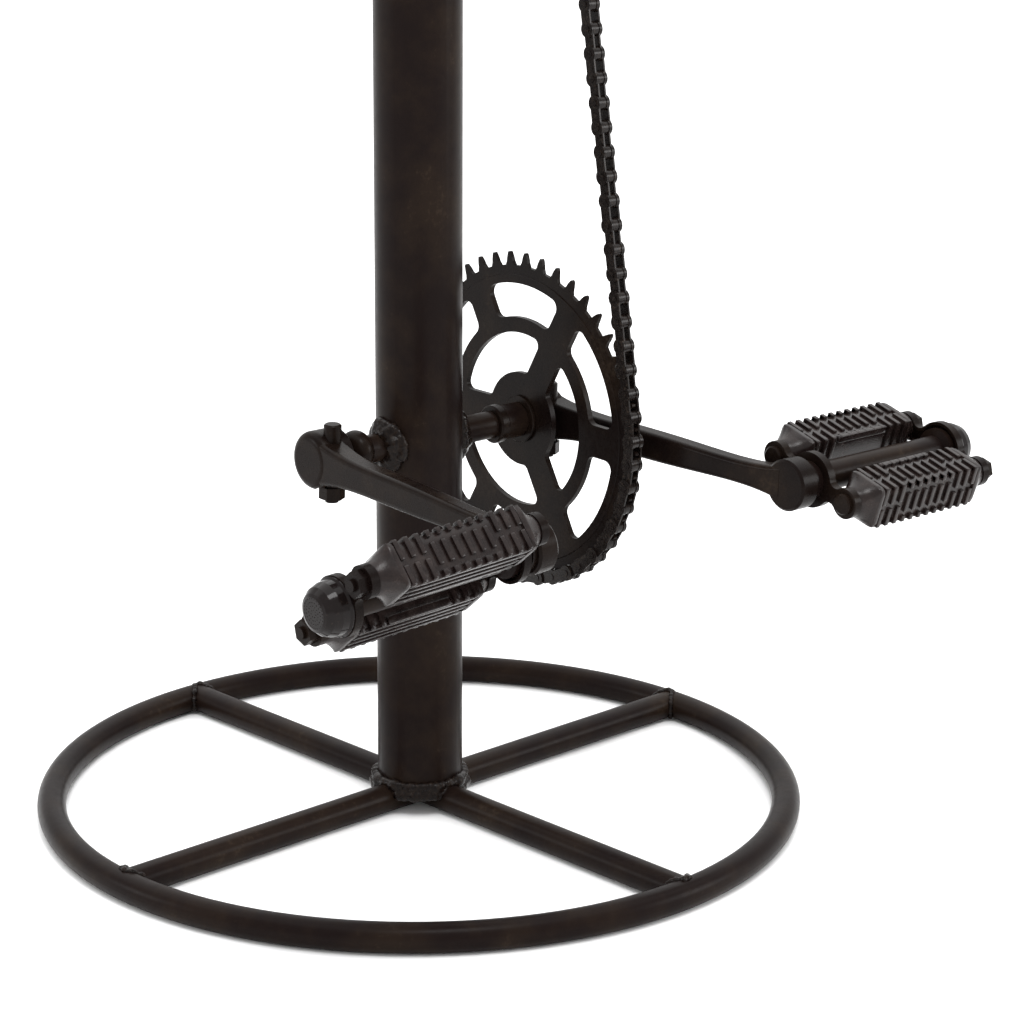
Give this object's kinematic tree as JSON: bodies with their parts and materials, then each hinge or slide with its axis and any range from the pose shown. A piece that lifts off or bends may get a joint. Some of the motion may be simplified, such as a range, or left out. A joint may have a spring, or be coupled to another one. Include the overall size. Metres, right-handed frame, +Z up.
{
  "type": "pedal bar stool",
  "caption": "Bar stool on a round-bar ring base: column, level cranks with rubber pedals as footrests, chainring, chain to a sprocket under the sprung leather saddle.",
  "frame": {"origin": "on the floor at the centre of the base ring", "axes": "+Z up along the column, +X the way the cranks point, +Y along the crank axle towards the chainring"},
  "size_m": [0.4232, 0.4435, 0.7546],
  "materials": {
    "dark_steel": "satin",
    "black_rubber": "matte",
    "cap_steel": "gloss",
    "chain_steel": "satin",
    "saddle_leather": "satin"
  },
  "bodies": {
    "frame": {"base_ring": "dark_steel", "cross_bar_through": "dark_steel", "cross_bar_front": "dark_steel", "cross_bar_rear": "dark_steel", "column": "dark_steel", "axle_housing": "dark_steel", "top_stub_axle": "dark_steel", "top_axle_nut": "dark_steel", "chain_inner_links": "chain_steel", "chain_outer_links": "chain_steel"},
    "crankset": {"crank_axle": "dark_steel", "chainring": "dark_steel", "flange_washer": "dark_steel", "spacer_sleeve": "dark_steel", "right_lock_ring": "dark_steel", "left_lock_ring": "dark_steel", "left_crank": "dark_steel", "right_crank": "dark_steel", "cotter_pins": "dark_steel", "cotter_nuts": "dark_steel", "left_spindle": "dark_steel", "right_spindle": "dark_steel"},
    "left_pedal": {"left_pedal_barrel": "dark_steel", "left_pedal_inner_plate": "dark_steel", "left_pedal_outer_plate": "dark_steel", "left_pedal_front_block": "black_rubber", "left_pedal_rear_block": "black_rubber", "left_pedal_block_bolts": "dark_steel", "left_pedal_block_nuts": "dark_steel", "left_pedal_dust_cap": "cap_steel"},
    "right_pedal": {"right_pedal_barrel": "dark_steel", "right_pedal_inner_plate": "dark_steel", "right_pedal_outer_plate": "dark_steel", "right_pedal_front_block": "black_rubber", "right_pedal_rear_block": "black_rubber", "right_pedal_block_bolts": "dark_steel", "right_pedal_block_nuts": "dark_steel", "right_pedal_dust_cap": "cap_steel"},
    "sprocket": {"top_sprocket": "dark_steel"},
    "collar": {"seat_collar": "dark_steel", "collar_bolt": "dark_steel", "collar_nut": "dark_steel"},
    "seat": {"seat_post": "dark_steel", "saddle_clamp_lower": "dark_steel", "saddle_clamp_upper": "dark_steel", "saddle_clamp_bolt": "dark_steel", "saddle_rails": "dark_steel", "saddle_spring_left": "dark_steel", "saddle_spring_right": "dark_steel", "saddle_nose_plate": "dark_steel", "saddle_cantle_plate": "dark_steel", "saddle_leather": "saddle_leather"}
  },
  "joints": [
    {"name": "crank_spin", "type": "hinge", "parent": "frame", "child": "crankset", "pos_m": [0, 0, 0.206], "axis": [0, 1, 0], "range_deg": [-229.09, 49.09], "deforming": ["chain_inner_links", "chain_outer_links"]},
    {"name": "top_sprocket_spin", "type": "hinge", "parent": "frame", "child": "sprocket", "pos_m": [-0.00769, 0.0731, 0.5325], "axis": [0, 1, 0], "range_deg": [-504.1, 108.1]},
    {"name": "left_pedal_spin", "type": "hinge", "parent": "crankset", "child": "left_pedal", "pos_m": [0.17479, -0.12991, 0.19693], "axis": [0.002, 0.9983, 0.0575], "continuous": true},
    {"name": "right_pedal_spin", "type": "hinge", "parent": "crankset", "child": "right_pedal", "pos_m": [0.17489, 0.163, 0.19989], "axis": [0, 1, 0], "continuous": true},
    {"name": "seat_turn", "type": "hinge", "parent": "frame", "child": "collar", "pos_m": [0, 0, 0.59], "axis": [0, 0, 1], "range_deg": [-180, 180]},
    {"name": "seat_height", "type": "slide", "parent": "collar", "child": "seat", "axis": [0, 0, 1], "range_m": [0, 0.06]}
  ],
  "couplings": [
    {"joint": "top_sprocket_spin", "follows": "crank_spin", "ratio": 2.2}
  ]
}
